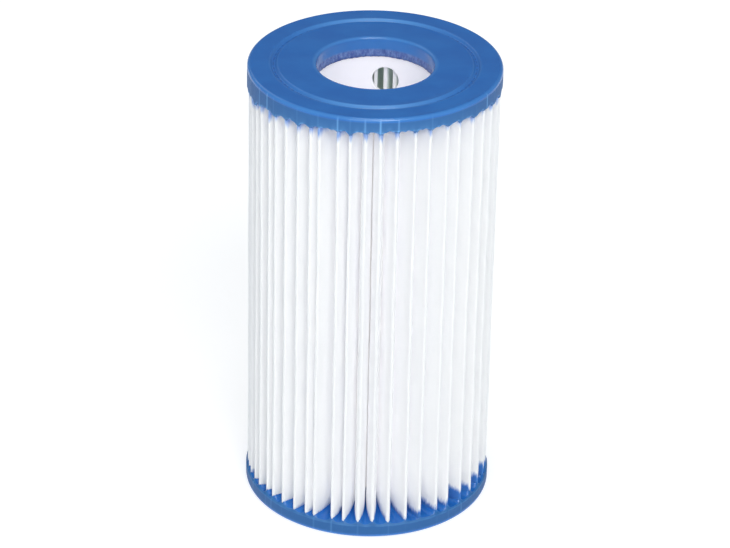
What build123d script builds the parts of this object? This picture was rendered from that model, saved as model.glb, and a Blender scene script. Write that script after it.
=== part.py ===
"""Pleated filter cartridge for a pool pump: one STEP file per physical piece, in millimetres.

The cartridge is a perforated core tube inside a ring of pleated media. The ends of both stand in
two cast end caps, which hold them and seal against the pump. Frame: origin at the centre of the
lower cap's face, +Z up the cartridge's axis.
"""

from build123d import *
import math
import os
import random

# Overall
CARTRIDGE_HEIGHT = 203.0
CAP_RADIUS = 54.0
BORE_RADIUS = 25.0

# End caps, cast in soft compound around the ends of the core and the media
TOP_CAP_THICKNESS = 5.0  # from the face to the level that the compound reached between the pleats
BOTTOM_CAP_THICKNESS = 6.2
CAP_EDGE_ROUND = 1.5
CAP_RIM_ROUND = 0.5
BORE_LIP_ROUND = 1.0
COLLAR_DEPTH = 9.0  # from the face to where the skin of compound inside the core ends
GROOVE_INNER_RADIUS = 41.4
GROOVE_OUTER_RADIUS = 44.4
GROOVE_DEPTH = 1.2
GROOVE_WALL_RUN = 0.9  # how far each groove wall leans over its depth
GROOVE_EDGE_ROUND = 0.5
GROOVE_FLOOR_ROUND = 0.3

# Core tube
CORE_INNER_RADIUS = 25.6
CORE_OUTER_RADIUS = 27.2
CORE_END_COVER = 2.0  # compound between a cap's face and the end of the core
CORE_HOLE_RADIUS = 5.8
CORE_HOLE_EDGE = 0.25
CORE_HOLES_PER_ROW = 4
CORE_HOLE_ROWS = 10
CORE_ROW_INSET = 20.0  # from a cap's face to the centres of the first row
CORE_HOLE_AZIMUTH = 79.8  # of one hole in the top row, in degrees from +X

# Pleated media
MEDIA_THICKNESS = 0.5
MEDIA_END_COVER = 1.5  # compound between a cap's face and the cut ends of the media
PLEAT_COUNT = 50
PLEAT_TIP_RADIUS = 53.3  # outside of the outer folds
PLEAT_ROOT_RADIUS = 27.4  # inside of the inner folds
TIP_FOLD_RADIUS = 0.5  # of the media's middle surface
ROOT_FOLD_RADIUS = 0.55
FIRST_PLEAT_AZIMUTH = -162.0
PLEAT_CROWDING = 0.178  # how far the pleats bunch towards one side, in radians
CROWDING_PHASE = 7.0  # azimuth where the pleats sit furthest apart, in degrees
PLEAT_JITTER = 1.3  # uneven hand packing of each pleat, in degrees
PLEAT_SEED = 15757

# Seam where the two ends of the media strip lie side by side in one pleat
SEAM_PLEAT = 36
SEAM_LAP = 9.0  # length of the parallel flaps, measured from the pleat's tip
SEAM_GLUE_THICKNESS = 0.5
SEAM_GLUE_LENGTH = 8.0


def polar(radius, azimuth):
    """The point at that radius and azimuth, in radians, on the plane across the axis."""
    return Vector(radius * math.cos(azimuth), radius * math.sin(azimuth))


def left_of(direction):
    return Vector(-direction.Y, direction.X)


def turned(direction, angle):
    """The direction turned counterclockwise by the angle, in radians."""
    cosine, sine = math.cos(angle), math.sin(angle)
    return Vector(
        cosine * direction.X - sine * direction.Y, sine * direction.X + cosine * direction.Y
    )


def pleat_azimuths():
    """The azimuth of each pleat's tip, in radians, counterclockwise. The pleats crowd on one side."""
    uneven = random.Random(PLEAT_SEED)
    found = []
    for i in range(PLEAT_COUNT):
        even = math.radians(FIRST_PLEAT_AZIMUTH) + 2 * math.pi * i / PLEAT_COUNT
        crowding = PLEAT_CROWDING * math.sin(even - math.radians(CROWDING_PHASE))
        found.append(even + crowding + math.radians(uneven.uniform(-PLEAT_JITTER, PLEAT_JITTER)))
    return found


class PleatPath:
    """The media's middle line: an open strip that starts and ends at the seam pleat's tip.

    Between them it runs down and up each panel, clockwise round each inner fold and
    counterclockwise round each outer fold.
    """

    def __init__(self):
        tips = pleat_azimuths()
        order = [(SEAM_PLEAT + i) % PLEAT_COUNT for i in range(PLEAT_COUNT + 1)]
        azimuths = [tips[order[0]]]
        for pleat in order[1:]:
            step = (tips[pleat] - azimuths[-1]) % (2 * math.pi)
            azimuths.append(azimuths[-1] + step)
        tip_centre = PLEAT_TIP_RADIUS - MEDIA_THICKNESS / 2 - TIP_FOLD_RADIUS
        root_centre = PLEAT_ROOT_RADIUS + MEDIA_THICKNESS / 2 + ROOT_FOLD_RADIUS
        self.seam_direction = polar(1.0, azimuths[0])
        self.roots = [
            polar(root_centre, (a + b) / 2) for a, b in zip(azimuths[:-1], azimuths[1:])
        ]
        self.tips = [polar(tip_centre, a) for a in azimuths[1:-1]]
        self.flap_offset = (SEAM_GLUE_THICKNESS + MEDIA_THICKNESS) / 2

    def panel_direction(self, start, end):
        """The way a panel runs between the folds centred there, crossing from one side to the other."""
        between = end - start
        lean = math.asin((TIP_FOLD_RADIUS + ROOT_FOLD_RADIUS) / between.length)
        outward = end.length > start.length
        return turned(between.normalized(), -lean if outward else lean)

    def flap_direction(self, bend, root, outward):
        """The way a seam flap's panel runs between its bend and the inner fold centred at root."""
        between = bend - root if outward else root - bend
        lean = math.asin(ROOT_FOLD_RADIUS / between.length)
        return turned(between.normalized(), -lean if outward else lean)

    def add_edges(self, side):
        """Adds the outline on the clean side (-1) or the dirty side (1) of the middle line."""
        half = side * MEDIA_THICKNESS / 2
        tip_radius = TIP_FOLD_RADIUS + half
        root_radius = ROOT_FOLD_RADIUS - half
        radial = self.seam_direction
        across = left_of(radial) * self.flap_offset
        bend_radius = PLEAT_TIP_RADIUS - SEAM_LAP

        first_end = radial * PLEAT_TIP_RADIUS + across
        first_bend = radial * bend_radius + across
        heading = self.flap_direction(first_bend, self.roots[0], outward=False)
        corner = self.bend_corner(first_bend, radial * -1, heading, half)
        first_corner = first_end - left_of(radial * -1) * half
        Line(first_corner, corner)
        at = corner

        for root, tip, next_root in zip(self.roots[:-1], self.tips, self.roots[1:]):
            rising = self.panel_direction(root, tip)
            at = self.fold(at, root, root_radius, heading, rising)
            falling = self.panel_direction(tip, next_root)
            at = self.fold(at, tip, tip_radius, rising, falling, outer=True)
            heading = falling

        last_bend = radial * bend_radius - across
        rising = self.flap_direction(last_bend, self.roots[-1], outward=True)
        at = self.fold(at, self.roots[-1], root_radius, heading, rising)
        corner = self.bend_corner(last_bend, rising, radial, half)
        Line(at, corner)
        last_corner = radial * PLEAT_TIP_RADIUS - across - left_of(radial) * half
        Line(corner, last_corner)
        return first_corner, last_corner

    def bend_corner(self, bend, before, after, half):
        """The outline's corner beside a slight bend of the middle line."""
        middle = (before + after).normalized()
        return bend - left_of(middle) * (half / middle.dot(after))

    def fold(self, at, centre, radius, before, after, outer=False):
        """Adds the panel's line from at, then the arc round a fold, and returns the arc's end."""
        side = -1 if outer else 1
        start = centre + left_of(before) * (side * radius)
        end = centre + left_of(after) * (side * radius)
        crown = centre + (before - after).normalized() * radius
        Line(at, start)
        ThreePointArc(start, crown, end)
        return end


def media_section(pleats):
    """The media's cross-section, as a sketch."""
    with BuildSketch() as section:
        with BuildLine():
            dirty = pleats.add_edges(1)
            clean = pleats.add_edges(-1)
            for one, other in zip(dirty, clean):
                Line(one, other)
        make_face()
    return section.sketch


def glue_section(pleats):
    """The cross-section of the bead between the two seam flaps, as a sketch."""
    middle = pleats.seam_direction * (PLEAT_TIP_RADIUS - SEAM_GLUE_LENGTH / 2)
    azimuth = math.degrees(math.atan2(middle.Y, middle.X))
    with BuildSketch() as section:
        with Locations((middle.X, middle.Y)):
            Rectangle(SEAM_GLUE_LENGTH, SEAM_GLUE_THICKNESS, rotation=azimuth)
    return section.sketch


def core_hole_planes():
    """One plane per hole, on the axis and facing out through the hole. Alternate rows are staggered."""
    spacing = (CARTRIDGE_HEIGHT - 2 * CORE_ROW_INSET) / (CORE_HOLE_ROWS - 1)
    pitch = 360.0 / CORE_HOLES_PER_ROW
    planes = []
    for row in range(CORE_HOLE_ROWS):
        height = CARTRIDGE_HEIGHT - CORE_ROW_INSET - row * spacing
        stagger = (row % 2) * pitch / 2
        for i in range(CORE_HOLES_PER_ROW):
            azimuth = math.radians(CORE_HOLE_AZIMUTH + stagger + i * pitch)
            outward = (math.cos(azimuth), math.sin(azimuth), 0)
            planes.append(Plane(origin=(0, 0, height), x_dir=(0, 0, 1), z_dir=outward))
    return planes


def cap_profile(thickness):
    """An upper cap's half section, with radius along X and height along Y."""
    top = CARTRIDGE_HEIGHT
    rim = top - thickness
    floor = top - GROOVE_DEPTH
    with BuildSketch() as section:
        with Locations((BORE_RADIUS, rim)):
            Rectangle(CAP_RADIUS - BORE_RADIUS, thickness, align=(Align.MIN, Align.MIN))
        with Locations((BORE_RADIUS, top - COLLAR_DEPTH)):
            Rectangle(
                CORE_INNER_RADIUS - BORE_RADIUS, COLLAR_DEPTH, align=(Align.MIN, Align.MIN)
            )
        with BuildLine():
            Polyline(
                (GROOVE_INNER_RADIUS, top),
                (GROOVE_INNER_RADIUS + GROOVE_WALL_RUN, floor),
                (GROOVE_OUTER_RADIUS - GROOVE_WALL_RUN, floor),
                (GROOVE_OUTER_RADIUS, top),
                close=True,
            )
        make_face(mode=Mode.SUBTRACT)
        rounds = [
            ((CAP_RADIUS, top), CAP_EDGE_ROUND),
            ((CAP_RADIUS, rim), CAP_RIM_ROUND),
            ((BORE_RADIUS, top), BORE_LIP_ROUND),
            ((GROOVE_INNER_RADIUS, top), GROOVE_EDGE_ROUND),
            ((GROOVE_OUTER_RADIUS, top), GROOVE_EDGE_ROUND),
            ((GROOVE_INNER_RADIUS + GROOVE_WALL_RUN, floor), GROOVE_FLOOR_ROUND),
            ((GROOVE_OUTER_RADIUS - GROOVE_WALL_RUN, floor), GROOVE_FLOOR_ROUND),
        ]
        for corner, radius in rounds:
            fillet(section.vertices().sort_by_distance(corner)[0], radius)
    return section.sketch


os.makedirs("parts", exist_ok=True)
top = CARTRIDGE_HEIGHT
media_length = top - 2 * MEDIA_END_COVER
core_length = top - 2 * CORE_END_COVER
pleats = PleatPath()
media_outline = media_section(pleats)
glue_outline = glue_section(pleats)

# Pleated media: one strip of fabric, folded, that runs between the two caps
with BuildPart() as media:
    with BuildSketch(Plane.XY.offset(MEDIA_END_COVER)):
        add(media_outline)
    extrude(amount=media_length)
media.part.label = "pleated_media"
export_step(media.part, "parts/pleated_media.step")

# Seam: the bead of glue between the strip's two ends
with BuildPart() as seam:
    with BuildSketch(Plane.XY.offset(MEDIA_END_COVER)):
        add(glue_outline)
    extrude(amount=media_length)
seam.part.label = "media_seam"
export_step(seam.part, "parts/media_seam.step")

# Core: the perforated tube that keeps the media from collapsing inwards
with BuildPart() as core:
    with BuildSketch(Plane.XY.offset(CORE_END_COVER)):
        Circle(CORE_OUTER_RADIUS)
        Circle(CORE_INNER_RADIUS, mode=Mode.SUBTRACT)
    extrude(amount=core_length)
    with BuildSketch(*core_hole_planes()):
        Circle(CORE_HOLE_RADIUS)
    extrude(amount=CORE_OUTER_RADIUS + 1.0, mode=Mode.SUBTRACT)
    chamfer(core.edges().filter_by(GeomType.BSPLINE), CORE_HOLE_EDGE)
core.part.label = "core_tube"
export_step(core.part, "parts/core_tube.step")

# Upper cap, with the pockets that the core, the media and the seam are potted in
with BuildPart() as pockets:
    with BuildSketch(Plane.XY.offset(top - COLLAR_DEPTH)):
        add(media_outline)
        add(glue_outline)
    extrude(amount=COLLAR_DEPTH - MEDIA_END_COVER)
    with BuildSketch(Plane.XY.offset(top - COLLAR_DEPTH)):
        Circle(CORE_OUTER_RADIUS)
        Circle(CORE_INNER_RADIUS, mode=Mode.SUBTRACT)
    extrude(amount=COLLAR_DEPTH - CORE_END_COVER)

with BuildPart() as top_cap:
    with BuildSketch(Plane.XZ):
        add(cap_profile(TOP_CAP_THICKNESS))
    revolve(axis=Axis.Z)
    add(pockets.part, mode=Mode.SUBTRACT)
top_cap.part.label = "top_end_cap"
export_step(top_cap.part, "parts/top_end_cap.step")

# Lower cap: cast in the same mould, with more compound, and turned over
with BuildPart() as bottom_cap:
    with BuildSketch(Plane.XZ):
        add(cap_profile(BOTTOM_CAP_THICKNESS))
    revolve(axis=Axis.Z)
    add(pockets.part, mode=Mode.SUBTRACT)
    mirror(about=Plane.XY.offset(top / 2), mode=Mode.REPLACE)
bottom_cap.part.label = "bottom_end_cap"
export_step(bottom_cap.part, "parts/bottom_end_cap.step")
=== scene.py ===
"""Looks of the pleated filter cartridge: its media, end caps, core and seam, in a pale studio.

Shapes are worked out in millimetres and become metres when a mesh is made. Azimuths are in
radians, counterclockwise from +X. "Depth" is the distance from a cap's own face towards the
cartridge's middle.
"""

import math
import random

import bpy
import numpy as np
from mathutils import Matrix, Vector, kdtree


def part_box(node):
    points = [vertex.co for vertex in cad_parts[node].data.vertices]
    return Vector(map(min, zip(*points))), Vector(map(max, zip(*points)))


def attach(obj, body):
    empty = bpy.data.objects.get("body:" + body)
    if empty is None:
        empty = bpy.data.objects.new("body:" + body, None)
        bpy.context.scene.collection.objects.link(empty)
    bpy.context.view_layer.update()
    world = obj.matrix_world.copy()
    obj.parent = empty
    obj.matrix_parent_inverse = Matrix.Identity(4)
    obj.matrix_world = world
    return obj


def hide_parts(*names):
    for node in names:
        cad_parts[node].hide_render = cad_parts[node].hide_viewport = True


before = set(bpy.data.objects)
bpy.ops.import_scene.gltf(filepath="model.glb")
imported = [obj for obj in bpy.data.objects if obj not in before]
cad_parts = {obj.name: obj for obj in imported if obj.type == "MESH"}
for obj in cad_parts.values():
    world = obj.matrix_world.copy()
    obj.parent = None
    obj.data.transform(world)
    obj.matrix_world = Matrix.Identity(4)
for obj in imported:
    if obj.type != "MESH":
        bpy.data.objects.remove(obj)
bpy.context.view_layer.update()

MM = 0.001
FULL_TURN = 2 * math.pi

# Media, as the CAD model folds it
MEDIA_THICKNESS = 0.5
TIP_FOLD_RADIUS = 0.5  # of the middle surface
ROOT_FOLD_RADIUS = 0.55
FOLD_SEARCH_DEPTH = 0.15  # how far from the folds' crowns the CAD vertices are looked for
FOLD_SEARCH_GAP = math.radians(1.2)  # the least gap between two folds' vertices
SEAM_LAP = 9.0  # length of the two flaps that are glued together
SEAM_GLUE_THICKNESS = 0.5
SEAM_GLUE_LENGTH = 8.0
SEAM_GLUE_PROUD = 0.25  # how far the glue stands out of the fold, before its unevenness

# Media, as the factory's hands leave it
MEDIA_LEVELS = 47  # rings of vertices up the height
TIP_ARC_POINTS = 7
ROOT_ARC_POINTS = 3
PANEL_POINTS = 5
TIP_SWAY = 0.10  # sideways, about halfway up
ROOT_SWAY = 0.05
TIP_RECESS = 0.16  # how far a fold's tip dips in from the outermost one
TIP_SHARPNESS = 0.1  # spread of the outer folds' radius
PANEL_BOW = 0.08  # each panel's own unevenness
PLEAT_BULGE = 1.05  # how far each panel stands out at most from the straight line between its folds
BULGE_SKEW = 0.8  # below 1, a panel bulges most nearer to its tip
PLEAT_SEED = 11

# How far the caps' compound soaked into the media, before the material frays its edge
UPPER_WICK = 0.9
UPPER_WICK_IN_FRONT = 2.6
UPPER_WICK_AT_SIDES = 1.4
UPPER_WICK_UNEVEN = 1.1
UPPER_WICK_ON_CRESTS = 1.4
LOWER_WICK = 1.3
LOWER_WICK_SOAKED = 3.6
LOWER_WICK_UNEVEN = 0.6
LOWER_WICK_UNEVEN_SOAKED = 0.8
SOAKED_AZIMUTH = math.radians(-25)  # the lower cap's compound soaked higher at the right
BARE_AZIMUTH = math.radians(-100)  # and left the folds bare at the front
BARE_FACING = (0.8, 0.95)  # how nearly a fold faces that way where it begins and ends to be bare
CREST_DEPTH = (2.2, 0.6)  # from the tips' crown, where a fold's crest begins and where it is full
# The panels' glow deep in the valleys is painted light.
PAINTED_VALLEY_LIGHT_DEPTH = (18.0, 9.0)  # from the tips' crown, where the panels' glow is full and where it ends
# The inner tint is painted shade on the inner face near the inner folds.
INNER_SHADE_HEIGHT = (0.5, 2.0)  # from the roots' crown, where the inner tint begins and where it is full

# End caps, as the CAD model casts them
UPPER_THICKNESS = 5.0
LOWER_THICKNESS = 6.2
COLLAR_DEPTH = 9.0
COLLAR_SKIN = 0.6
CORE_WALL = 1.6
CORE_POCKET_DEPTH = 2.2  # a little past the core's end, so that no gap shows
LIP_ROUND = 1.0
EDGE_ROUND = 1.5
RIM_ROUND = 0.5
GROOVE_INNER_RADIUS = 41.4
GROOVE_OUTER_RADIUS = 44.4
GROOVE_WALL_RUN = 0.9
GROOVE_DEPTH = 1.2
ROUND_GAP = 0.4  # between a flat stretch's last vertices and the round beside it
CAP_COLUMNS = 1100  # vertices round the axis

# End caps, as they came out of the mould
FACE_SINK = 0.03
FLOOR_PRESS = 0.16  # how far the ends of the pleats show under the groove's thin floor
FLOOR_PRESS_WIDTH = 0.4
POTTING_UNEVEN = 0.12
POTTING_REACH = 0.9  # from a pleat, where the compound that climbs it has fallen to about a third
FOLD_MARK_WIDTH = 0.34  # of the thin skin over an outer fold
FOLD_MARK_HEIGHT = 0.04
FOLD_MARK_OFFSET = 0.3  # how far a mark may be from its fold's middle
RUN_OVER_FOLD_WIDTH = 1.8
RUN_DOWN_IN_FRONT = 1.1  # of the upper cap's wall, as are the two below
RUN_DOWN_AT_SIDES = 2.2
RUN_DOWN_AT_LEFT = 2.5
RUN_DOWN_AZIMUTH = math.radians(-110)  # of the front left, where it runs down further
BAND_START = (5.2, 5.7)  # depths where the rough skin over the core begins and where it is full
BAND_UNEVEN = 0.09
# depths where the painted shadow at the skin's end, next to the core, begins and where it is full
BAND_END = (8.1, 8.7)
TAIL_START = 8.0
TAIL_UNEVEN = 0.12

# Where a cap's skin is thin and pale, and where highlights and light are painted on it, as shares
# from 0 to 1
FOLD_MARK_TINT = (1.0, 0.4)  # upper and lower cap
# painted light on the upper wall and rim where the cap faces along Y; its foot is also paler where
# the skin thins
WALL_PAINTED_LIGHT = 0.08
WALL_FOOT_TINT = 0.14
# the rim: pale where its skin is thin, with a painted highlight along its arches
RIM_PALE_AND_HIGHLIGHT = 0.25
RIM_PALE_AND_HIGHLIGHT_LOST_OVER_FOLDS = 0.2
# painted glints on the upper rim
RIM_PAINTED_GLINT = 0.5
# painted highlight along the outer edge's round, more where the cap faces along Y
EDGE_PAINTED_HIGHLIGHT = 0.24
EDGE_PAINTED_HIGHLIGHT_ALONG_Y = 0.14
# painted highlight on the groove's walls, more where the cap faces along Y
GROOVE_PAINTED_HIGHLIGHT = 0.18
GROOVE_PAINTED_HIGHLIGHT_ALONG_Y = 0.6
COLLAR_TINT = 0.2


def node_points(node):
    """The CAD node's vertices, in millimetres."""
    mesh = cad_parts[node].data
    flat = np.empty(len(mesh.vertices) * 3)
    mesh.vertices.foreach_get("co", flat)
    return flat.reshape(-1, 3) / MM


def ripple(rng, along, wavelengths):
    """Smooth unevenness from about -1 to 1: sine waves of random phase and about those lengths."""
    total = np.zeros_like(along, dtype=float)
    for wavelength in wavelengths:
        length = wavelength * rng.uniform(0.8, 1.25)
        total += np.sin(FULL_TURN * (along / length + rng.random()))
    return total / math.sqrt(len(wavelengths))


def round_ripple(rng, azimuths, cycles):
    """The same round the axis, where each wave closes on itself after that many cycles."""
    total = np.zeros_like(azimuths, dtype=float)
    for count in cycles:
        total += np.sin(count * azimuths + FULL_TURN * rng.random())
    return total / math.sqrt(len(cycles))


def facing(azimuths, towards):
    """1 where the azimuth is that one, falling to 0 a quarter turn from it."""
    return np.maximum(np.cos(azimuths - towards), 0)


def ramp(values, start, full):
    """0 up to the start and 1 from full on."""
    return np.clip((values - start) / (full - start), 0, 1)


def new_mesh_object(name, points, faces, smooth=True):
    """An object made of points in millimetres."""
    mesh = bpy.data.meshes.new(name)
    mesh.from_pydata((np.asarray(points) * MM).tolist(), [], faces)
    mesh.validate()
    if smooth:
        mesh.shade_smooth()
    made = bpy.data.objects.new(name, mesh)
    bpy.context.scene.collection.objects.link(made)
    return made


def add_float_attribute(made, name, values):
    made.data.attributes.new(name, "FLOAT", "POINT").data.foreach_set("value", np.ravel(values))


# The media's folds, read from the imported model


def fold_azimuths(points):
    """The middle azimuth of each cluster of points, ascending, one cluster to a fold."""
    azimuths = np.sort(np.arctan2(points[:, 1], points[:, 0]))
    gaps = np.diff(azimuths, append=azimuths[0] + FULL_TURN)
    first = int(np.argmax(gaps)) + 1
    azimuths = np.concatenate([azimuths[first:], azimuths[:first] + FULL_TURN])
    breaks = np.nonzero(np.diff(azimuths) > FOLD_SEARCH_GAP)[0] + 1
    return np.array([(run[0] + run[-1]) / 2 for run in np.split(azimuths, breaks)])


class Pleats:
    """The strip's middle line at any height. It starts and ends at the seam pleat's tip."""

    def __init__(self):
        points = node_points("pleated_media")
        radii = np.hypot(points[:, 0], points[:, 1])
        self.tip_crown, self.root_crown = radii.max(), radii.min()
        tips = fold_azimuths(points[radii > self.tip_crown - FOLD_SEARCH_DEPTH])
        roots = fold_azimuths(points[radii < self.root_crown + FOLD_SEARCH_DEPTH])
        if len(tips) != len(roots):
            raise ValueError(f"{len(tips)} outer folds but {len(roots)} inner ones")
        low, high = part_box("media_seam")
        seam = (low + high) / 2
        self.seam = math.atan2(seam.y, seam.x)
        self.roots = np.sort((roots - self.seam) % FULL_TURN) + self.seam
        after_seam = np.sort((tips - self.seam + FOLD_SEARCH_GAP / 2) % FULL_TURN)[1:]
        self.tips = after_seam - FOLD_SEARCH_GAP / 2 + self.seam  # without the seam pleat's own
        low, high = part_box("pleated_media")
        self.bottom, self.top = low.z / MM, high.z / MM
        self.rng = random.Random(PLEAT_SEED)
        self.count = len(roots)
        self.habits = self.draw_habits()

    def draw_habits(self):
        """The unevenness of each pleat: random waves up the height, drawn once."""
        height = np.linspace(self.bottom, self.top, MEDIA_LEVELS)
        share = (height - self.bottom) / (self.top - self.bottom)
        freedom = np.sin(math.pi * share) ** 0.5  # the caps hold the ends still

        def waves(*wavelengths):
            return ripple(self.rng, height, wavelengths)

        def draw(count, habit):
            return np.array([habit() for _ in range(count)]).T

        shared = waves(160, 70)
        tips, roots = self.count - 1, self.count
        return {
            "height": height,
            "sway": draw(tips, lambda: freedom * (0.5 * shared + waves(120, 50))),
            "recess": draw(tips, lambda: freedom * (1 + waves(140, 50)) / 2),
            "sharp": draw(tips, lambda: np.full(MEDIA_LEVELS, self.rng.uniform(-1, 1))),
            "root_sway": draw(roots, lambda: freedom * waves(110, 40)),
            "bow": draw(2 * roots + 1, lambda: freedom * waves(150, 60)),
            "seam_sway": freedom * waves(150, 60),
        }

    def seam_azimuth(self, level):
        return self.seam + TIP_SWAY * self.habits["seam_sway"][level] / self.tip_crown

    def line(self, level):
        """The middle line's points at a level, as complex numbers."""
        habits = {key: values[level] for key, values in self.habits.items()}
        tip_azimuths = self.tips + TIP_SWAY * habits["sway"] / self.tip_crown
        tip_folds = TIP_FOLD_RADIUS + TIP_SHARPNESS * habits["sharp"]
        tip_radii = self.tip_crown - MEDIA_THICKNESS / 2 - tip_folds - TIP_RECESS * habits["recess"]
        root_azimuths = self.roots + ROOT_SWAY * habits["root_sway"] / self.root_crown
        root_radius = self.root_crown + MEDIA_THICKNESS / 2 + ROOT_FOLD_RADIUS
        tips = tip_radii * np.exp(1j * tip_azimuths)
        roots = root_radius * np.exp(1j * root_azimuths)
        radial = np.exp(1j * self.seam_azimuth(level))
        across = 1j * radial * (SEAM_GLUE_THICKNESS + MEDIA_THICKNESS) / 2
        bend = radial * (self.tip_crown - SEAM_LAP)

        points = [radial * self.tip_crown + across, bend + across]
        heading = crossing(bend + across, roots[0], ROOT_FOLD_RADIUS, outward=False)
        bows = iter(habits["bow"])
        for i, tip in enumerate(tips):
            fold = tip_folds[i]
            rising = crossing(roots[i], tip, ROOT_FOLD_RADIUS + fold, outward=True)
            falling = crossing(tip, roots[i + 1], ROOT_FOLD_RADIUS + fold, outward=False)
            add_root_fold(points, roots[i], heading, rising, next(bows))
            add_tip_fold(points, tip, fold, rising, falling, next(bows))
            heading = falling
        rising = crossing(roots[-1], bend - across, ROOT_FOLD_RADIUS, outward=True)
        add_root_fold(points, roots[-1], heading, rising, next(bows))
        add_panel(points, bend - across, next(bows), inward=False)
        points += [bend - across, radial * self.tip_crown - across]
        return np.array(points)


def crossing(start, end, radii, outward):
    """The direction of the line that touches two folds on opposite sides, as a complex number."""
    between = end - start
    lean = np.arcsin(radii / abs(between))
    return between / abs(between) * np.exp(-1j * lean if outward else 1j * lean)


def add_panel(points, end, bow, inward):
    """Adds the points up to the next fold. The panel bulges away from its pleat's middle."""
    start = points[-1]
    side = 1j * (end - start) / abs(end - start)
    for j in range(1, PANEL_POINTS + 1):
        share = j / (PANEL_POINTS + 1)
        from_tip = share if inward else 1 - share
        bulge = PLEAT_BULGE * math.sin(math.pi * from_tip**BULGE_SKEW)
        reach = PANEL_BOW * bow * math.sin(math.pi * share) - bulge
        points.append(start + share * (end - start) + side * reach)


def add_root_fold(points, centre, before, after, bow):
    """Adds a panel and then the clockwise arc round an inner fold."""
    start = 1j * before * ROOT_FOLD_RADIUS
    add_panel(points, centre + start, bow, inward=True)
    sweep = np.angle(before / after) % FULL_TURN
    for j in range(ROOT_ARC_POINTS):
        points.append(centre + start * np.exp(-1j * sweep * j / (ROOT_ARC_POINTS - 1)))


def add_tip_fold(points, centre, radius, before, after, bow):
    """Adds a panel and then the counterclockwise arc round an outer fold."""
    start = -1j * before * radius
    add_panel(points, centre + start, bow, inward=False)
    sweep = np.angle(after / before) % FULL_TURN
    for j in range(TIP_ARC_POINTS):
        points.append(centre + start * np.exp(1j * sweep * j / (TIP_ARC_POINTS - 1)))


def beside(line, distance):
    """The line moved to its left by that distance, as complex numbers."""
    steps = np.diff(line)
    steps /= abs(steps)
    before = np.concatenate([steps[:1], steps])
    after = np.concatenate([steps, steps[-1:]])
    middle = (before + after) / abs(before + after)
    return line + 1j * middle * distance / np.real(middle * np.conj(after))


def loft_faces(count, rings, turn_over=False):
    """The quads between rings of that many vertices."""
    faces = []
    for ring in range(rings - 1):
        base = ring * count
        for i in range(count):
            j = (i + 1) % count
            quad = (base + i, base + j, base + count + j, base + count + i)
            faces.append(quad[::-1] if turn_over else quad)
    return faces


def make_media(pleats):
    """The folded strip: a closed skin round the middle line, from one cap to the other."""
    rings = []
    for level, z in enumerate(pleats.habits["height"]):
        line = pleats.line(level)
        outer, inner = beside(line, -MEDIA_THICKNESS / 2), beside(line, MEDIA_THICKNESS / 2)
        ring = np.concatenate([outer, inner[::-1]])
        rings.append(np.column_stack([ring.real, ring.imag, np.full(len(ring), z)]))
    count = len(ring)
    faces = loft_faces(count, MEDIA_LEVELS)
    last = (MEDIA_LEVELS - 1) * count
    for i in range(count // 2 - 1):  # the cut ends, as quads across the strip
        faces.append((i, count - 1 - i, count - 2 - i, i + 1))
        faces.append((last + i, last + i + 1, last + count - 2 - i, last + count - 1 - i))
    made = new_mesh_object("pleated_media_strip", np.concatenate(rings), faces)
    for name, values in media_stains(np.angle(ring), draw_along_strip(pleats, count)).items():
        add_float_attribute(made, name, np.tile(values, MEDIA_LEVELS))
    return made


def media_stains(azimuths, uneven):
    """What the material has to know of each point of a ring. Wicks are heights in millimetres."""
    wick_up = UPPER_WICK + UPPER_WICK_IN_FRONT * run_down_in_front(azimuths)
    wick_up += UPPER_WICK_UNEVEN * uneven + UPPER_WICK_AT_SIDES * run_down_at_sides(azimuths)
    soaked = facing(azimuths, SOAKED_AZIMUTH) ** 1.5
    wick_low = LOWER_WICK + LOWER_WICK_SOAKED * soaked
    wick_low += (LOWER_WICK_UNEVEN + LOWER_WICK_UNEVEN_SOAKED * soaked) * uneven
    return {
        "inner_face": (np.arange(len(azimuths)) >= len(azimuths) // 2).astype(float),
        "wick_up": wick_up,
        "wick_low": wick_low,
        "bare_crest": ramp(facing(azimuths, BARE_AZIMUTH), *BARE_FACING),
    }


def draw_along_strip(pleats, count):
    """Unevenness along the strip, the same on both of its faces."""
    along = np.linspace(0, pleats.count, count // 2)
    uneven = ripple(pleats.rng, along, (3.1, 1.3, 0.61, 0.27))
    return np.concatenate([uneven, uneven[::-1]])


def make_seam(pleats):
    """The bead of glue between the seam's flaps. It follows the pleat and stands slightly proud."""
    half, crown = SEAM_GLUE_THICKNESS / 2, SEAM_GLUE_PROUD
    shoulder, shoulder_side = 0.72 * crown, 0.6 * half
    outline = [(0.0, half), (shoulder, shoulder_side), (crown, 0.0)]
    outline += [(shoulder, -shoulder_side), (0.0, -half)]
    outline += [(-SEAM_GLUE_LENGTH, -half), (-SEAM_GLUE_LENGTH, half)]
    points = []
    for level, z in enumerate(pleats.habits["height"]):
        radial = np.exp(1j * pleats.seam_azimuth(level))
        proud = 1 + 0.5 * math.sin(z / 3.7) * math.sin(z / 11.3)  # beads of no clear rhythm
        for out, side in outline:
            reach = out * proud if out > 0 else out
            at = radial * (pleats.tip_crown + reach + 1j * side)
            points.append((at.real, at.imag, z))
    count = len(outline)
    faces = loft_faces(count, MEDIA_LEVELS, turn_over=True)
    last = (MEDIA_LEVELS - 1) * count
    faces.append(tuple(range(count)))
    faces.append(tuple(last + i for i in reversed(range(count))))
    return new_mesh_object("seam_glue_bead", points, faces, smooth=False)


# End caps


def arc(centre, radius, start, end, count):
    """Points of an arc, as (radius, depth). Angles are in degrees: 0 is outward and 90 is deep."""
    angles = np.radians(np.linspace(start, end, count))
    return [(centre[0] + radius * math.cos(a), centre[1] + radius * math.sin(a)) for a in angles]


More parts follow.
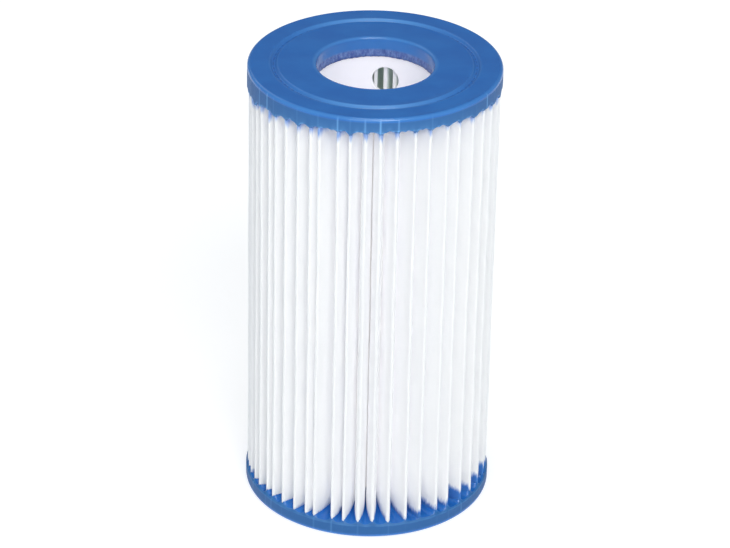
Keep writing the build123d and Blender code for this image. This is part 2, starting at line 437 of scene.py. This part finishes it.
def cap_profile(thickness):
    """The cap's half section as (radius, depth, zone), all the way round from the collar's end.

    The last number of each stretch is its count of points.
    """
    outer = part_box("top_end_cap")[1].x / MM
    core_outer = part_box("core_tube")[1].x / MM
    core_inner = core_outer - CORE_WALL
    bore = core_inner - COLLAR_SKIN
    collar = np.linspace(COLLAR_DEPTH, LIP_ROUND, 14)[:-1]
    lip = arc((bore + LIP_ROUND, LIP_ROUND), LIP_ROUND, 180, 270, 6)
    face = np.linspace(bore + 2 * LIP_ROUND, GROOVE_INNER_RADIUS - 0.6, 7)
    floor_start = GROOVE_INNER_RADIUS + GROOVE_WALL_RUN + ROUND_GAP
    floor = np.linspace(floor_start, GROOVE_OUTER_RADIUS - GROOVE_WALL_RUN - ROUND_GAP, 4)
    ring_start = GROOVE_OUTER_RADIUS + GROOVE_WALL_RUN
    ring = np.linspace(ring_start, outer - EDGE_ROUND - ROUND_GAP, 4)
    edge = arc((outer - EDGE_ROUND, EDGE_ROUND), EDGE_ROUND, -90, 0, 7)
    wall = np.linspace(EDGE_ROUND + 0.5, thickness - 0.8, 6)
    rim = arc((outer - RIM_ROUND, thickness - RIM_ROUND), RIM_ROUND, 0, 90, 4)
    potting = np.linspace(outer - RIM_ROUND - ROUND_GAP, core_outer, 24)

    profile = [(bore, depth, "collar") for depth in collar]
    profile += [(radius, depth, "lip") for radius, depth in lip]
    profile += [(radius, 0.0, "face") for radius in face]
    profile += groove_wall(GROOVE_INNER_RADIUS, 1)
    profile += [(radius, GROOVE_DEPTH, "floor") for radius in floor]
    profile += groove_wall(GROOVE_OUTER_RADIUS, -1)[::-1]
    profile += [(radius, 0.0, "ring") for radius in ring]
    profile += [(radius, depth, "edge") for radius, depth in edge]
    profile += [(outer, depth, "wall") for depth in wall]
    profile += [(radius, depth, "rim") for radius, depth in rim]
    profile += [(radius, thickness, "potting") for radius in potting]
    profile += [(radius, CORE_POCKET_DEPTH, "pocket") for radius in (core_outer, core_inner)]
    profile += [(core_inner, COLLAR_DEPTH, "skin")]
    return profile


def groove_wall(radius, way):
    """A groove's leaning wall with a round at its top and bottom, from the face to the floor."""
    top, bottom = radius, radius + way * GROOVE_WALL_RUN
    return [
        (top - way * 0.35, 0.0, "groove"),
        (top - way * 0.05, 0.06, "groove"),
        (top + way * 0.18, 0.22, "groove"),
        (bottom - way * 0.2, GROOVE_DEPTH - 0.24, "groove"),
        (bottom - way * 0.02, GROOVE_DEPTH - 0.06, "groove"),
        (bottom + way * 0.2, GROOVE_DEPTH, "groove"),
    ]


def distance_to_media(pleats, grid):
    """Each grid point's distance from the media, where the caps hold it."""
    line = pleats.line(0)
    lengths = np.concatenate([[0], np.cumsum(abs(np.diff(line)))])
    along = np.arange(0, lengths[-1], 0.2)
    dense = np.interp(along, lengths, line.real) + 1j * np.interp(along, lengths, line.imag)
    tree = kdtree.KDTree(len(dense))
    for i, point in enumerate(dense):
        tree.insert((point.real, point.imag, 0), i)
    tree.balance()
    distances = [tree.find((point.real, point.imag, 0))[2] for point in grid.ravel()]
    return np.maximum(np.reshape(distances, grid.shape) - MEDIA_THICKNESS / 2, 0)


def tip_marks(pleats, rng, azimuths, width, rarity):
    """A hump at each outer fold, of that width in millimetres and a random height from 0 to 1.

    The higher the rarity, the fewer of the humps are high ones.
    """
    shown = np.zeros_like(azimuths)
    for tip in np.append(pleats.tips, pleats.seam):
        away = np.angle(np.exp(1j * (azimuths - tip))) * pleats.tip_crown
        strength = rng.random() ** rarity
        offset = rng.uniform(-FOLD_MARK_OFFSET, FOLD_MARK_OFFSET)
        shown = np.maximum(shown, strength * np.exp(-(((away - offset) / width) ** 2)))
    return shown


def run_down_in_front(azimuths):
    """How much further the upper cap's compound runs down at the front left."""
    return RUN_DOWN_IN_FRONT * facing(azimuths, RUN_DOWN_AZIMUTH) ** 2


def run_down_at_sides(azimuths):
    """How much further it runs down at the right, and further still at the left."""
    at_left = RUN_DOWN_AT_LEFT * facing(azimuths, math.pi) ** 6
    return RUN_DOWN_AT_SIDES * np.cos(azimuths) ** 2 + at_left


class Cap:
    """One end cap, as a grid of columns round the axis by the points of its half section."""

    def __init__(self, pleats, upper, seed, thickness, drip, climb):
        self.pleats, self.upper = pleats, upper
        self.rng = random.Random(seed)
        profile = cap_profile(thickness)
        self.azimuths = np.linspace(0, FULL_TURN, CAP_COLUMNS, endpoint=False)
        self.radii = np.tile([point[0] for point in profile], (CAP_COLUMNS, 1))
        self.depths = np.tile([point[1] for point in profile], (CAP_COLUMNS, 1))
        self.zones = np.array([point[2] for point in profile])
        self.away = distance_to_media(pleats, self.radii * np.exp(1j * self.azimuths)[:, None])
        self.sink_faces()
        self.climb_pleats(climb)
        self.run_down_wall(drip)
        self.roughen_collar()

    def zone(self, *names):
        """Which points of the half section are in those zones."""
        return np.isin(self.zones, names)

    def ripple(self, *cycles):
        return round_ripple(self.rng, self.azimuths, cycles)[:, None]

    def fold_marks(self, width, rarity):
        return tip_marks(self.pleats, self.rng, self.azimuths, width, rarity)[:, None]

    def sink_faces(self):
        """Cast faces sink a little, and the groove's thin floor shows the ends of the pleats."""
        self.sink = self.ripple(2, 3, 5, 9)
        self.depths[:, self.zone("face", "ring")] += FACE_SINK * (1 + self.sink)
        self.press = np.exp(-((self.away / FLOOR_PRESS_WIDTH) ** 2))
        floor = self.zone("floor")
        self.depths[:, floor] -= FLOOR_PRESS * self.press[:, floor]

    def climb_pleats(self, climb):
        """The compound climbs the pleats that stand in it."""
        wander = climb * (1 + 0.35 * self.ripple(7, 13, 29, 47))
        height = wander * np.exp(-self.away / POTTING_REACH) + POTTING_UNEVEN * self.sink
        potting = self.zone("potting")
        self.depths[:, potting] += height[:, potting]

    def run_down_wall(self, drip):
        """The outer wall's edge runs down over each fold and arches between them."""
        self.marks = self.fold_marks(FOLD_MARK_WIDTH, rarity=1.8)
        self.over_folds = self.fold_marks(RUN_OVER_FOLD_WIDTH, rarity=1.5)
        rag = drip * (self.over_folds + 0.1 + 0.1 * self.ripple(11, 23, 89, 131))
        if self.upper:
            rag += (run_down_at_sides(self.azimuths) + run_down_in_front(self.azimuths))[:, None]
        self.depths[:, self.zone("rim")] += rag
        wall = self.zone("wall")
        self.depths[:, wall] += np.linspace(0, 0.9, wall.sum()) * rag
        behind_rim = np.nonzero(self.zone("potting"))[0][:3]
        self.depths[:, behind_rim] += np.array([0.9, 0.5, 0.15]) * rag
        self.radii[:, self.zone("wall", "rim")] += FOLD_MARK_HEIGHT * self.marks

    def roughen_collar(self):
        """The skin inside the collar is uneven where it covers the core, and so is its end."""
        streaks = self.ripple(61, 97, 149, 211)
        self.over_core = ramp(self.depths, *BAND_START)
        collar = self.zone("collar")
        self.radii[:, collar] += (BAND_UNEVEN * self.over_core * streaks)[:, collar]
        tail = self.zone("collar", "skin") * (self.depths > TAIL_START)
        self.depths += TAIL_UNEVEN * tail * self.ripple(3, 8, 17, 53)

    def thin_skin(self):
        """Where the skin is thin and pale, and where highlights and light are painted on it, as
        shares. The painted light is strongest where the cap faces along Y.
        """
        along_y = (np.sin(self.azimuths) ** 2)[:, None]
        thin = np.zeros_like(self.radii)
        mark_tint = FOLD_MARK_TINT[0 if self.upper else 1]
        thin[:, self.zone("edge", "wall", "rim")] = mark_tint * self.marks
        # The rim is pale where its skin is thin, with a painted highlight along its arches, less
        # over the folds
        thin[:, self.zone("rim")] += RIM_PALE_AND_HIGHLIGHT - RIM_PALE_AND_HIGHLIGHT_LOST_OVER_FOLDS * self.over_folds
        painted_glints = np.clip(self.ripple(41, 67, 113, 157), 0, 1)
        patchy = 1 + 0.5 * self.ripple(17, 37, 71, 103)
        if self.upper:
            wall = self.zone("wall")
            foot = np.linspace(0, 1, wall.sum()) ** 1.5
            # Painted light on the upper wall where the cap faces along Y; its foot is also paler
            # where the skin thins
            thin[:, self.zone("wall", "rim")] += WALL_PAINTED_LIGHT * along_y
            thin[:, wall] += WALL_FOOT_TINT * foot * patchy * along_y
            # Painted glints on the upper rim
            thin[:, self.zone("rim")] += RIM_PAINTED_GLINT * painted_glints
        # Painted highlight along the outer edge's round, strongest where the cap faces along Y; the
        # fold marks fade out on it
        edge = self.zone("edge")
        along_edge = np.linspace(0, 1, edge.sum())
        thin[:, edge] *= along_edge**2
        thin[:, edge] += (EDGE_PAINTED_HIGHLIGHT + EDGE_PAINTED_HIGHLIGHT_ALONG_Y * along_y) * np.sin(math.pi * along_edge)
        # Painted highlight on the groove's walls, brightest in their middle and where the cap faces
        # along Y
        both_groove_walls = np.tile([0.35, 0.7, 1.0, 1.0, 0.7, 0.35], 2)
        groove_painted_highlight = GROOVE_PAINTED_HIGHLIGHT + GROOVE_PAINTED_HIGHLIGHT_ALONG_Y * along_y**2
        thin[:, self.zone("groove")] = groove_painted_highlight * both_groove_walls
        thin[:, self.zone("collar")] = COLLAR_TINT
        # The lip's round: the collar's pale tint, with a painted highlight along its middle
        lip = self.zone("lip")
        thin[:, lip] = COLLAR_TINT * (1 + np.sin(np.linspace(0, math.pi, lip.sum())))
        return thin

    def make(self, name):
        """The cap's mesh, with what its material has to know of each point."""
        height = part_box("top_end_cap")[1].z / MM
        z = height - self.depths if self.upper else self.depths
        x = self.radii * np.cos(self.azimuths)[:, None]
        y = self.radii * np.sin(self.azimuths)[:, None]
        points = np.stack([x, y, z], axis=-1).reshape(-1, 3)
        made = new_mesh_object(name, points, grid_faces(*self.radii.shape, self.upper))
        add_float_attribute(made, "thin_skin", self.thin_skin())
        skin = self.zone("collar", "skin")
        band_end = ramp(self.depths, *BAND_END)
        everywhere = np.ones_like(self.radii)
        # side marks the wall and rim, which get a darker painted shade and more roughness
        add_float_attribute(made, "side", np.where(self.zone("wall", "rim"), everywhere, 0))
        add_float_attribute(made, "core_band", np.where(skin, self.over_core, 0))
        add_float_attribute(made, "band_end", np.where(skin, band_end, 0))
        add_float_attribute(made, "pleat_dashes", np.where(self.zone("floor"), self.press, 0))
        return made


def grid_faces(columns, rows, turn_over):
    """The quads of a grid that closes on itself both ways round."""
    faces = []
    for i in range(columns):
        j = (i + 1) % columns
        for k in range(rows):
            m = (k + 1) % rows
            quad = (i * rows + k, j * rows + k, j * rows + m, i * rows + m)
            faces.append(quad[::-1] if turn_over else quad)
    return faces


# Materials


class Nodes:
    """A material under construction, with short ways to add and link shader nodes."""

    def __init__(self, name):
        self.material = bpy.data.materials.new(name)
        self.material.use_nodes = True
        self.tree = self.material.node_tree
        self.shader = self.tree.nodes["Principled BSDF"]

    def add(self, kind, **settings):
        node = self.tree.nodes.new(kind)
        for key, value in settings.items():
            setattr(node, key, value)
        return node

    def link(self, output, target):
        self.tree.links.new(output, target)

    def place(self):
        return self.add("ShaderNodeTexCoord").outputs["Object"]

    def split(self, vector):
        node = self.add("ShaderNodeSeparateXYZ")
        self.link(vector, node.inputs["Vector"])
        return node.outputs

    def attribute(self, name):
        return self.add("ShaderNodeAttribute", attribute_name=name).outputs["Fac"]

    def share_of(self, name, share):
        """The attribute times that share."""
        return self.math("MULTIPLY", self.attribute(name), share)

    def noise(self, scale, detail=2.0, stretch=(1, 1, 1), roughness=0.5):
        """Noise with that many features to the metre, before the stretch along each axis."""
        mapping = self.add("ShaderNodeMapping")
        mapping.inputs["Scale"].default_value = stretch
        self.link(self.place(), mapping.inputs["Vector"])
        node = self.add("ShaderNodeTexNoise")
        node.inputs["Scale"].default_value = scale
        node.inputs["Detail"].default_value = detail
        node.inputs["Roughness"].default_value = roughness
        self.link(mapping.outputs["Vector"], node.inputs["Vector"])
        return node.outputs["Fac"]

    def math(self, operation, *values):
        node = self.add("ShaderNodeMath", operation=operation)
        for socket, value in zip(node.inputs, values):
            if isinstance(value, (int, float)):
                socket.default_value = value
            else:
                self.link(value, socket)
        return node.outputs[0]

    def between(self, value, low, high):
        """0 where the value is below low, 1 above high and a smooth step from one to the other."""
        node = self.add("ShaderNodeMapRange", interpolation_type="SMOOTHSTEP")
        node.inputs["From Min"].default_value = low
        node.inputs["From Max"].default_value = high
        self.link(value, node.inputs["Value"])
        return node.outputs["Result"]

    def mix(self, share, first, second):
        node = self.add("ShaderNodeMix", data_type="RGBA")
        self.link(share, node.inputs["Factor"])
        for socket, value in ((node.inputs["A"], first), (node.inputs["B"], second)):
            if isinstance(value, tuple):
                socket.default_value = (*value, 1)
            else:
                self.link(value, socket)
        return node.outputs["Result"]

    def bump(self, height, distance, strength, under=None):
        """A bump whose height runs from 0 to 1 times the distance, in millimetres."""
        node = self.add("ShaderNodeBump")
        node.inputs["Strength"].default_value = strength
        node.inputs["Distance"].default_value = distance * MM
        self.link(height, node.inputs["Height"])
        if under:
            self.link(under, node.inputs["Normal"])
        return node.outputs["Normal"]

    def glow(self, color, strength):
        self.shader.inputs["Emission Color"].default_value = (*color, 1)
        if isinstance(strength, float):
            self.shader.inputs["Emission Strength"].default_value = strength
        else:
            self.link(strength, self.shader.inputs["Emission Strength"])

    def finish(self, color, roughness, normal=None, **constants):
        """Sets the shader's sockets. A constant's name is its socket's, with _ for each space."""
        self.link(color, self.shader.inputs["Base Color"])
        self.link(roughness, self.shader.inputs["Roughness"])
        if normal:
            self.link(normal, self.shader.inputs["Normal"])
        for socket, value in constants.items():
            self.shader.inputs[socket.replace("_", " ")].default_value = value
        return self.material


# Linear colours of the cast compound
BLUE = (0.0225, 0.168, 0.53)
DEEP_BLUE = (0.018, 0.142, 0.485)
SIDE_PAINTED_SHADE = (0.011, 0.108, 0.318)
PALE_BLUE = (0.155, 0.410, 0.790)
DASH_BLUE = (0.02, 0.075, 0.26)
PURPLE_BLUE = (0.070, 0.115, 0.350)
STREAK_BLUE = (0.165, 0.270, 0.560)
SCRAPED_BLUE = (0.42, 0.47, 0.66)
BAND_END_PAINTED_SHADOW = (0.03, 0.045, 0.19)

# Of the media and of the compound that soaked into it
FIBRE_SHADE = (0.955, 0.957, 0.970)
FIBRE_WHITE = (0.983, 0.982, 0.985)
MEDIA_WHITE = (0.979, 0.978, 0.981)
INNER_PAINTED_SHADE = (0.80, 0.87, 0.83)
STAIN_BLUE = (0.050, 0.185, 0.520)
PALE_STAIN = (0.260, 0.400, 0.760)
MEDIA_PAINTED_LIGHT = (1.0, 0.98, 0.90)
MEDIA_PAINTED_LIGHT_STRENGTH = 0.03

# Of the rest
CORE_SHADE = (0.955, 0.945, 0.975)
CORE_WHITE = (0.975, 0.97, 0.985)
CORE_PAINTED_LIGHT = (1.0, 0.95, 0.96)
CORE_PAINTED_LIGHT_STRENGTH = 0.09
GLUE_SHADE = (0.80, 0.76, 0.62)
GLUE_WHITE = (0.88, 0.86, 0.78)
PAPER_SHADE = (0.46, 0.46, 0.46)
PAPER_WHITE = (0.48, 0.48, 0.48)
PAPER_GLOW = (1, 1, 1)
PAPER_GLOW_STRENGTH = 0.70
PAPER_GLOW_ADDED = 0.09  # further from the cartridge
PAPER_GLOW_REACH = (0.1, 0.5)  # metres from the axis, where that begins and where it is full


def media_material(pleats):
    """White spunbond polyester: soft and fibrous, stained by the compound near the caps.

    Deep in the valleys a faint glow is painted light, in place of the light that passes through the
    thin strip from valley to valley; near the inner folds the inner face has painted shade.
    """
    n = Nodes("spunbond_polyester")
    x, y, z = n.split(n.place())
    radius = n.math("SQRT", n.math("ADD", n.math("MULTIPLY", x, x), n.math("MULTIPLY", y, y)))
    crest_start, crest_full = ((pleats.tip_crown - depth) * MM for depth in CREST_DEPTH)
    crest = n.between(radius, crest_start, crest_full)
    glow_full, glow_end = ((pleats.tip_crown - depth) * MM for depth in PAINTED_VALLEY_LIGHT_DEPTH)
    shallow = n.between(radius, glow_full, glow_end)
    tint_start, tint_full = ((pleats.root_crown + out) * MM for out in INNER_SHADE_HEIGHT)
    inner_painted_shade = n.math("MULTIPLY", n.between(radius, tint_start, tint_full), n.attribute("inner_face"))

    fray = n.noise(1100, detail=3.0, stretch=(1, 1, 0.35))
    fray = n.math("MULTIPLY", n.math("SUBTRACT", fray, 0.5), 3.0)
    above_cap = n.math("SUBTRACT", n.math("DIVIDE", z, MM), LOWER_THICKNESS)
    bare = n.math("MULTIPLY", crest, n.attribute("bare_crest"))
    low_wick = n.math("MULTIPLY", n.math("SUBTRACT", 1.1, bare), n.attribute("wick_low"))
    low = n.math("SUBTRACT", above_cap, n.math("ADD", low_wick, fray))
    cap_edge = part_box("top_end_cap")[1].z / MM - UPPER_THICKNESS
    below_cap = n.math("SUBTRACT", cap_edge, n.math("DIVIDE", z, MM))
    high_wick = n.math("MULTIPLY_ADD", crest, UPPER_WICK_ON_CRESTS, n.attribute("wick_up"))
    high = n.math("SUBTRACT", below_cap, n.math("ADD", high_wick, fray))

    fibres = n.noise(2600, detail=4.0, stretch=(1, 1, 0.4), roughness=0.7)
    clouds = n.noise(110, detail=3.0)
    white = n.mix(n.between(fibres, 0.3, 0.7), FIBRE_SHADE, FIBRE_WHITE)
    white = n.mix(n.between(clouds, 0.35, 0.7), white, MEDIA_WHITE)
    # Painted shade on the inner face near the inner folds
    white = n.mix(inner_painted_shade, white, INNER_PAINTED_SHADE)
    color = n.mix(n.between(low, -1.6, 1.9), STAIN_BLUE, white)
    color = n.mix(n.between(high, -2.4, 2.2), PALE_STAIN, color)
    roughness = n.math("ADD", n.math("MULTIPLY", fibres, 0.2), 0.7)
    normal = n.bump(fibres, 0.06, 0.5, under=n.bump(clouds, 0.5, 0.35))
    # Painted light deep in the valleys, on the outer face only
    deep = n.math("SUBTRACT", 1.0, shallow)
    outside = n.math("SUBTRACT", 1.0, n.attribute("inner_face"))
    glow = n.math("MULTIPLY", n.math("MULTIPLY", deep, outside), MEDIA_PAINTED_LIGHT_STRENGTH)
    n.glow(MEDIA_PAINTED_LIGHT, glow)
    return n.finish(
        color,
        roughness,
        normal,
        Specular_IOR_Level=0.2,
        Subsurface_Weight=0.8,
        Subsurface_Scale=1.2 * MM,
        Subsurface_Radius=(1, 1, 1),
    )


def cap_material():
    """Soft blue cast compound: satin skin, fine pits, pale where it is thin over the pleats, with
    painted highlights on its rounds, painted shade on its side wall and a painted shadow where its
    skin ends against the core.
    """
    n = Nodes("cast_blue_compound")
    clouds = n.noise(70, detail=3.0)
    grain = n.noise(1500, detail=3.0, roughness=0.6)
    blotches = n.noise(620, detail=4.0, stretch=(1, 1, 0.45), roughness=0.7)
    color = n.mix(n.between(clouds, 0.3, 0.75), DEEP_BLUE, BLUE)
    # Painted shade on the side wall and rim
    color = n.mix(n.share_of("side", 0.9), color, SIDE_PAINTED_SHADE)
    # Pale where the skin is thin, and painted highlights and painted light
    color = n.mix(n.share_of("thin_skin", 0.85), color, PALE_BLUE)
    streak = n.mix(n.between(blotches, 0.35, 0.65), PURPLE_BLUE, STREAK_BLUE)
    streak = n.mix(n.between(grain, 0.6, 0.8), streak, SCRAPED_BLUE)
    # Painted shadow where the skin ends against the core
    streak = n.mix(n.share_of("band_end", 0.6), streak, BAND_END_PAINTED_SHADOW)
    color = n.mix(n.share_of("core_band", 0.9), color, streak)
    color = n.mix(n.share_of("pleat_dashes", 0.45), color, DASH_BLUE)
    roughness = n.math("ADD", n.math("MULTIPLY", grain, 0.12), 0.13)
    roughness = n.math("MULTIPLY_ADD", n.attribute("side"), 0.4, roughness)
    normal = n.bump(grain, 0.04, 0.5, under=n.bump(clouds, 0.6, 0.25))
    return n.finish(color, roughness, normal, Specular_IOR_Level=0.45)


def core_material():
    """White moulded plastic: glossy, faintly clouded, scuffed along its length.

    Its faint glow is painted light, in place of the light that passes through its thin wall from
    its other side.
    """
    n = Nodes("white_moulded_plastic")
    clouds = n.noise(60, detail=2.0)
    scuffs = n.noise(900, detail=3.0, stretch=(1, 1, 0.08), roughness=0.7)
    color = n.mix(n.between(clouds, 0.3, 0.7), CORE_SHADE, CORE_WHITE)
    roughness = n.math("ADD", n.math("MULTIPLY", scuffs, 0.25), 0.18)
    # Painted light that lifts the shade inside the bore
    n.glow(CORE_PAINTED_LIGHT, CORE_PAINTED_LIGHT_STRENGTH)
    return n.finish(color, roughness, n.bump(scuffs, 0.02, 0.4))


def glue_material():
    """Hot-melt glue: milky and slightly yellow, with a wavy skin."""
    n = Nodes("hot_melt_glue")
    waves = n.noise(500, detail=2.0, stretch=(1, 1, 0.3))
    color = n.mix(n.between(waves, 0.3, 0.7), GLUE_SHADE, GLUE_WHITE)
    roughness = n.math("ADD", n.math("MULTIPLY", waves, 0.2), 0.2)
    return n.finish(color, roughness, n.bump(waves, 0.1, 0.4), Subsurface_Weight=0.2)


def floor_material():
    """Seamless white paper, lit from behind as a light table is."""
    n = Nodes("white_paper")
    grain = n.noise(400, detail=2.0)
    color = n.mix(n.between(grain, 0.3, 0.7), PAPER_SHADE, PAPER_WHITE)
    roughness = n.math("ADD", n.math("MULTIPLY", grain, 0.1), 0.85)
    away = n.add("ShaderNodeVectorMath", operation="LENGTH")
    n.link(n.place(), away.inputs["Vector"])
    further = n.between(away.outputs["Value"], *PAPER_GLOW_REACH)
    n.glow(PAPER_GLOW, n.math("MULTIPLY_ADD", further, PAPER_GLOW_ADDED, PAPER_GLOW_STRENGTH))
    return n.finish(color, roughness, Specular_IOR_Level=0.1)


# Studio, in metres


CAMERA_DISTANCE = 1.500
CAMERA_ELEVATION = math.radians(28.87)
CAMERA_ROLL = math.radians(-1.2)
CAMERA_AIM = Vector((-0.0025, 0.0, 0.1013))
CAMERA_LENS = 170.1
SENSOR_WIDTH = 36.0
FLOOR_REACH = 6.0
LIGHTS_AIM = (0, 0, 0.1)
WARM_WHITE = (1.0, 0.985, 0.965)
WHITE = (1, 1, 1)
SKY_BLUE = (0.50, 0.76, 1.0)
AIR_BLUE = (0.74, 0.87, 1.0)
AIR_STRENGTH = 0.30


def make_camera():
    data = bpy.data.cameras.new("camera")
    data.lens = CAMERA_LENS
    data.sensor_width = SENSOR_WIDTH
    data.clip_end = 20
    camera = bpy.data.objects.new("camera", data)
    bpy.context.scene.collection.objects.link(camera)
    back = Vector((0, -math.cos(CAMERA_ELEVATION), math.sin(CAMERA_ELEVATION)))
    right = Vector((1, 0, 0))
    up = back.cross(right)
    rolled_right = math.cos(CAMERA_ROLL) * right - math.sin(CAMERA_ROLL) * up
    rolled_up = math.sin(CAMERA_ROLL) * right + math.cos(CAMERA_ROLL) * up
    axes = Matrix((rolled_right, rolled_up, back)).transposed().to_4x4()
    camera.matrix_world = Matrix.Translation(CAMERA_AIM + CAMERA_DISTANCE * back) @ axes
    bpy.context.scene.camera = camera


def make_softbox(name, place, size, power, color):
    data = bpy.data.lights.new(name, "AREA")
    data.shape = "RECTANGLE"
    data.size, data.size_y = size
    data.energy = power
    data.color = color
    light = bpy.data.objects.new(name, data)
    bpy.context.scene.collection.objects.link(light)
    light.location = place
    way = Vector(LIGHTS_AIM) - Vector(place)
    light.rotation_euler = way.to_track_quat("-Z", "Y").to_euler()


def make_studio():
    corners = [(-1, -1, 0), (1, -1, 0), (1, 1, 0), (-1, 1, 0)]
    floor = new_mesh_object(
        "studio_floor", FLOOR_REACH / MM * np.array(corners), [(0, 1, 2, 3)], smooth=False
    )
    floor.data.materials.append(floor_material())
    make_softbox("key", (0.40, -1.50, 1.64), (0.7, 0.7), 14.3, WARM_WHITE)
    make_softbox("front", (-0.10, -2.1, 1.28), (1.6, 1.6), 16, WARM_WHITE)
    make_softbox("overhead", (0.0, -0.25, 1.5), (0.45, 0.35), 3.5, WHITE)
    make_softbox("back_left", (-1.0, 1.3, 1.5), (1.0, 1.0), 3, WHITE)
    make_softbox("left_side", (-1.9, -0.5, 0.5), (1.0, 1.0), 1.5, SKY_BLUE)
    make_softbox("right_side", (1.9, -0.6, 0.5), (1.0, 1.0), 1.2, SKY_BLUE)
    world = bpy.data.worlds.new("studio_air")
    bpy.context.scene.world = world
    world.use_nodes = True
    background = world.node_tree.nodes["Background"]
    background.inputs["Color"].default_value = (*AIR_BLUE, 1)
    background.inputs["Strength"].default_value = AIR_STRENGTH
    bpy.context.scene.view_settings.view_transform = "Standard"
    bpy.context.scene.cycles.max_bounces = 40  # light has to find its way out of deep pleats
    bpy.context.scene.cycles.diffuse_bounces = 30


def dress(piece, material, node):
    """Gives a new piece its material, and puts it in the CAD node's place."""
    piece.data.materials.append(material)
    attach(piece, "root")
    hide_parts(node)


def main():
    make_camera()
    make_studio()
    pleats = Pleats()
    media = make_media(pleats)
    dress(media, media_material(pleats), "pleated_media")
    length = abs(np.diff(pleats.line(0))).sum()
    dress(make_seam(pleats), glue_material(), "media_seam")
    compound = cap_material()
    upper = Cap(pleats, True, seed=5, thickness=UPPER_THICKNESS, drip=2.2, climb=1.0)
    dress(upper.make("upper_cap"), compound, "top_end_cap")
    lower = Cap(pleats, False, seed=8, thickness=LOWER_THICKNESS, drip=0.35, climb=1.8)
    dress(lower.make("lower_cap"), compound, "bottom_end_cap")
    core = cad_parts["core_tube"]
    core.data.materials.clear()
    core.data.materials.append(core_material())


main()
